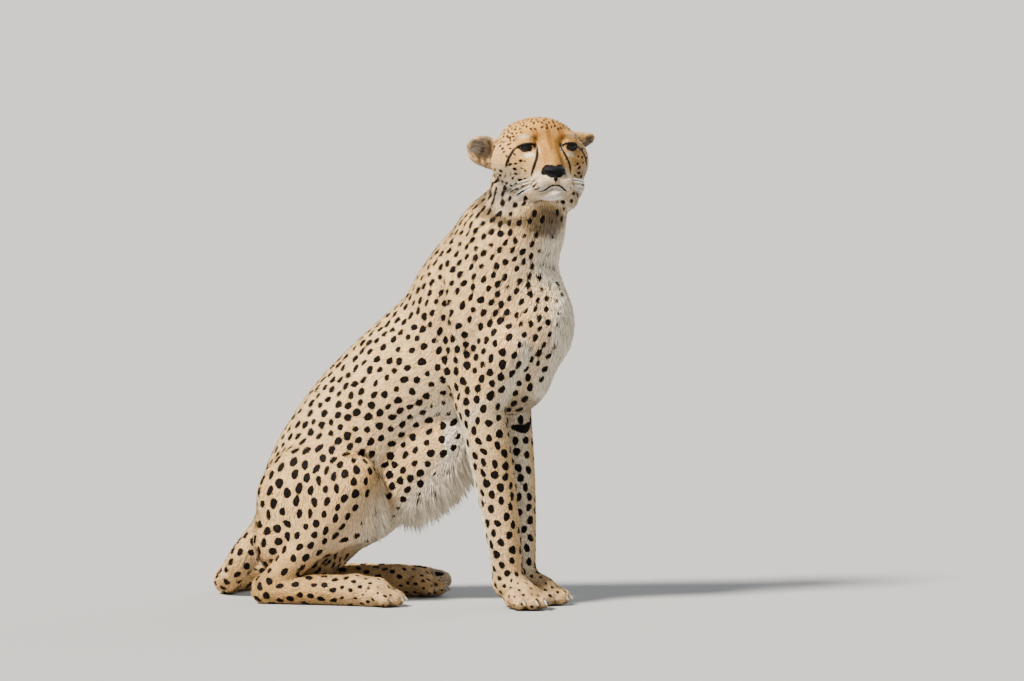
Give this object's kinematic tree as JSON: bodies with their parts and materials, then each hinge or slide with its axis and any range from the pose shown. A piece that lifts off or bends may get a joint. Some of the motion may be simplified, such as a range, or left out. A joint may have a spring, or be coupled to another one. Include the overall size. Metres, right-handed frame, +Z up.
{
  "type": "cheetah model",
  "caption": "Life-size still model of a sitting cheetah, forelegs straight, chest and head turned, tail laid on the floor.",
  "frame": {"origin": "middle of the footprint's box, on the floor", "axes": "+Z up, +X the way the hips face, +Y to the animal's left"},
  "size_m": [0.7812, 0.5034, 0.9308],
  "materials": {
    "abdomen": "short tan fur with solid black spots",
    "chest": "short pale spotted fur",
    "claw_fore_L_1": "ivory horn claw",
    "claw_fore_L_2": "ivory horn claw",
    "claw_fore_L_3": "ivory horn claw",
    "claw_fore_L_4": "ivory horn claw",
    "claw_fore_R_1": "ivory horn claw",
    "claw_fore_R_2": "ivory horn claw",
    "claw_fore_R_3": "ivory horn claw",
    "claw_fore_R_4": "ivory horn claw",
    "claw_hind_L_1": "ivory horn claw",
    "claw_hind_L_2": "ivory horn claw",
    "claw_hind_L_3": "ivory horn claw",
    "claw_hind_L_4": "ivory horn claw",
    "claw_hind_R_1": "ivory horn claw",
    "claw_hind_R_2": "ivory horn claw",
    "claw_hind_R_3": "ivory horn claw",
    "claw_hind_R_4": "ivory horn claw",
    "ear_L": "short tan fur with solid black spots",
    "ear_R": "short tan fur with solid black spots",
    "eye_L": "wet dark amber eye",
    "eye_R": "wet dark amber eye",
    "forearm_L": "short tan fur with solid black spots",
    "forearm_R": "short tan fur with solid black spots",
    "forepaw_L": "short tan fur with solid black spots",
    "forepaw_R": "short tan fur with solid black spots",
    "hindfoot_L": "short tan fur with solid black spots",
    "hindfoot_R": "short tan fur with solid black spots",
    "shin_L": "short tan fur with solid black spots",
    "shin_R": "short tan fur with solid black spots",
    "shoulder_L": "short tan fur with solid black spots",
    "shoulder_R": "short tan fur with solid black spots",
    "thigh_L": "short tan fur with solid black spots",
    "thigh_R": "short tan fur with solid black spots",
    "head": "short tan fur with solid black spots",
    "neck": "short tan fur with solid black spots",
    "nose": "bare black nose leather",
    "pelvis": "short tan fur with solid black spots",
    "tail_1": "short tan fur with solid black spots",
    "tail_2": "short tan fur with solid black spots",
    "tail_3": "short tan fur with solid black spots",
    "tail_4": "short tan fur with solid black spots"
  },
  "bodies": {
    "root": {"abdomen": "abdomen", "chest": "chest", "claw_fore_L_1": "claw_fore_L_1", "claw_fore_L_2": "claw_fore_L_2", "claw_fore_L_3": "claw_fore_L_3", "claw_fore_L_4": "claw_fore_L_4", "claw_fore_R_1": "claw_fore_R_1", "claw_fore_R_2": "claw_fore_R_2", "claw_fore_R_3": "claw_fore_R_3", "claw_fore_R_4": "claw_fore_R_4", "claw_hind_L_1": "claw_hind_L_1", "claw_hind_L_2": "claw_hind_L_2", "claw_hind_L_3": "claw_hind_L_3", "claw_hind_L_4": "claw_hind_L_4", "claw_hind_R_1": "claw_hind_R_1", "claw_hind_R_2": "claw_hind_R_2", "claw_hind_R_3": "claw_hind_R_3", "claw_hind_R_4": "claw_hind_R_4", "ear_L": "ear_L", "ear_R": "ear_R", "eye_L": "eye_L", "eye_R": "eye_R", "forearm_L": "forearm_L", "forearm_R": "forearm_R", "forepaw_L": "forepaw_L", "forepaw_R": "forepaw_R", "hindfoot_L": "hindfoot_L", "hindfoot_R": "hindfoot_R", "shin_L": "shin_L", "shin_R": "shin_R", "shoulder_L": "shoulder_L", "shoulder_R": "shoulder_R", "thigh_L": "thigh_L", "thigh_R": "thigh_R", "head": "head", "neck": "neck", "nose": "nose", "pelvis": "pelvis", "tail_1": "tail_1", "tail_2": "tail_2", "tail_3": "tail_3", "tail_4": "tail_4"}
  },
  "joints": []
}
